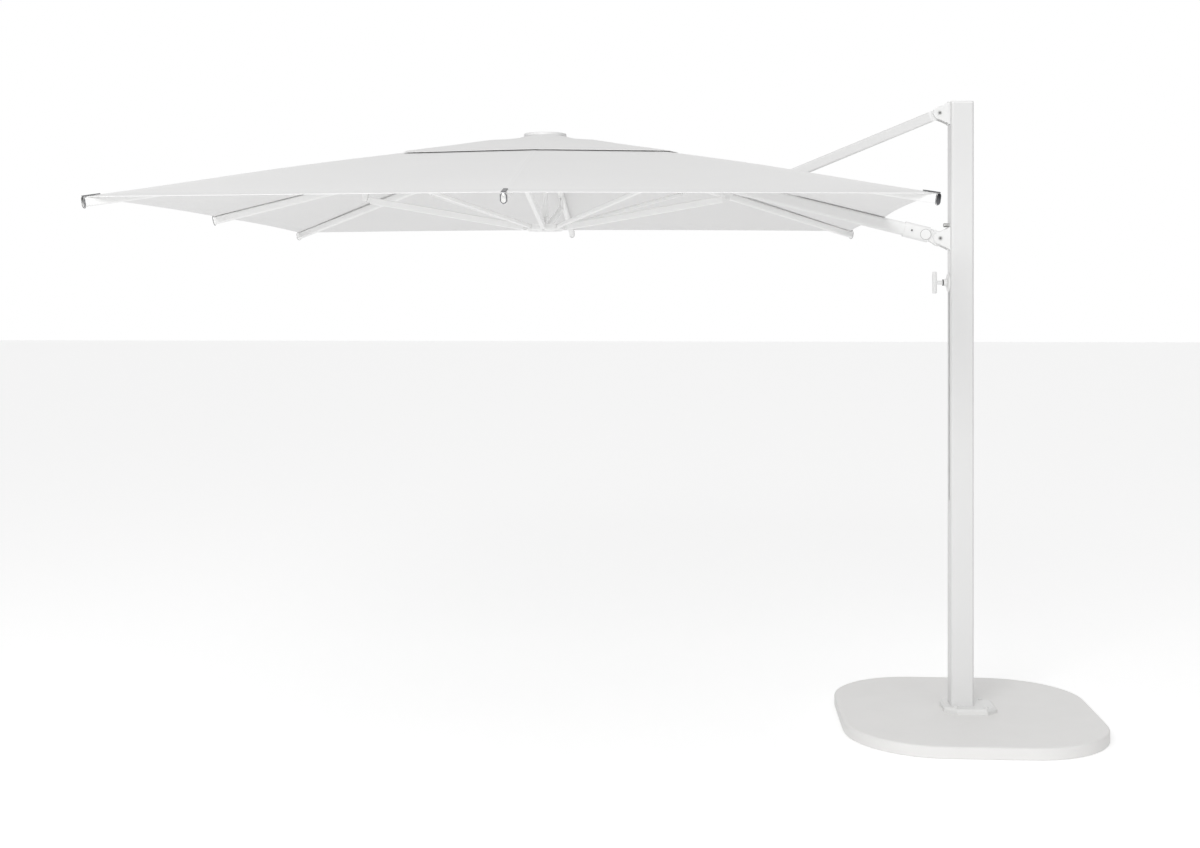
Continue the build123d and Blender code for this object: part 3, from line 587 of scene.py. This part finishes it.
# Each socket is a flat dark hexagon standing proud of the bolt's face: painted shade in place of a hex
# recess.
for node, (body, spots, radius) in SOCKETS.items():
    for side, spot in spots:
        build = bmesh.new()
        facing = Matrix.Rotation(math.radians(90 * side), 4, "Z")
        round_band(build, radius, SOCKET_DEPTH, Matrix.Translation(spot) @ facing)
        mesh_piece(f"socket_{node}_{'near' if side < 0 else 'far'}", build, "socket_dark", body)

# A thin grey ring round the base of each of the sleeve's round covers: painted shade along the cover's rim.
for side, spot in bolt_spots("boom_sleeve_trim", lambda p: p.x > trim_middle):
    build = bmesh.new()
    facing = Matrix.Rotation(math.radians(90 * side), 4, "Z")
    base = spot - Vector((0, side * COVER_PROUD, 0))
    round_band(build, COVER_RIM_SHADE_R, COVER_RIM_SHADE_DEPTH, Matrix.Translation(base) @ facing, 64, 0.0002)
    mesh_piece(f"cover_rim_shade_{'near' if side < 0 else 'far'}", build, "rim_shade_grey", "boom")

handle_low, handle_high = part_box("clamp_handle")
build = bmesh.new()
ring_place = Matrix.Translation((RING_X, 0, (handle_low.z + handle_high.z) / 2))
round_band(build, CLAMP_RING_R, CLAMP_RING_LENGTH, ring_place, 48, 0.0008)
mesh_piece("clamp_ring", build, "black_ring", "clamp")

# ---------------------------------------------------------------- floor, light and camera
floor_mesh = bpy.data.meshes.new("floor")
FLOOR_HALF = 60
floor_corners = [(x * FLOOR_HALF, y * FLOOR_HALF, 0) for x, y in ((-1, -1), (1, -1), (1, 1), (-1, 1))]
floor_mesh.from_pydata(floor_corners, [], [(0, 1, 2, 3)])
floor = bpy.data.objects.new("floor", floor_mesh)
bpy.context.scene.collection.objects.link(floor)
FLOOR_GLOW_TO_SCENE, FLOOR_GLOW_TO_CAMERA = 0.20, 0.30
ground = Shader("floor_white", (0.86, 0.86, 0.86), 0.9)
ground.main.inputs["Emission Color"].default_value = (1, 1, 1, 1)
floor_rays = ground.tree.nodes.new("ShaderNodeLightPath")
glow = ground.map(floor_rays.outputs["Is Camera Ray"], FLOOR_GLOW_TO_SCENE, FLOOR_GLOW_TO_CAMERA)
ground.tree.links.new(glow, ground.main.inputs["Emission Strength"])
floor_mesh.materials.append(ground.material)

# The studio's walls are pale in front, behind and above, and darker to the left and right.
world = bpy.data.worlds.new("studio")
world.use_nodes = True
bpy.context.scene.world = world
tree = world.node_tree
soft = tree.nodes["Background"]
soft.inputs["Color"].default_value = (1, 1, 1, 1)
direction = tree.nodes.new("ShaderNodeTexCoord")
parts = tree.nodes.new("ShaderNodeSeparateXYZ")
sideways = tree.nodes.new("ShaderNodeMath")
sideways.operation = "MULTIPLY"
fall = tree.nodes.new("ShaderNodeMapRange")
fall.inputs["To Min"].default_value = 0.92  # ahead, behind and above
fall.inputs["To Max"].default_value = 0.02  # straight left and right
tree.links.new(direction.outputs["Generated"], parts.inputs[0])
tree.links.new(parts.outputs[0], sideways.inputs[0])
tree.links.new(parts.outputs[0], sideways.inputs[1])
tree.links.new(sideways.outputs[0], fall.inputs["Value"])
tree.links.new(fall.outputs["Result"], soft.inputs["Strength"])
backdrop = tree.nodes.new("ShaderNodeBackground")
backdrop.inputs["Color"].default_value = (1, 1, 1, 1)
backdrop.inputs["Strength"].default_value = 1.0
rays = tree.nodes.new("ShaderNodeLightPath")
chooser = tree.nodes.new("ShaderNodeMixShader")
tree.links.new(rays.outputs["Is Camera Ray"], chooser.inputs[0])
tree.links.new(soft.outputs[0], chooser.inputs[1])
tree.links.new(backdrop.outputs[0], chooser.inputs[2])
tree.links.new(chooser.outputs[0], tree.nodes["World Output"].inputs["Surface"])


def area_light(name, location, target, size, power):
    light = bpy.data.lights.new(name, "AREA")
    light.shape, light.size, light.energy = "DISK", size, power
    lamp = bpy.data.objects.new(name, light)
    bpy.context.scene.collection.objects.link(lamp)
    lamp.location = location
    lamp.rotation_euler = (Vector(target) - Vector(location)).to_track_quat("-Z", "Y").to_euler()


area_light("key", (-3.4, -8.0, 5.0), (-0.9, 0, 1.2), 4.0, 270)

camera_data = bpy.data.cameras.new("camera")
camera_data.lens, camera_data.sensor_width = 46.633, 36.0
camera_data.shift_y = -0.1046
camera = bpy.data.objects.new("camera", camera_data)
camera.location = (-1.1579, -6.9056, 1.8483)
camera.rotation_euler = (math.radians(90), 0, 0.0618)
bpy.context.scene.collection.objects.link(camera)
bpy.context.scene.camera = camera
bpy.context.scene.view_settings.view_transform = "Standard"
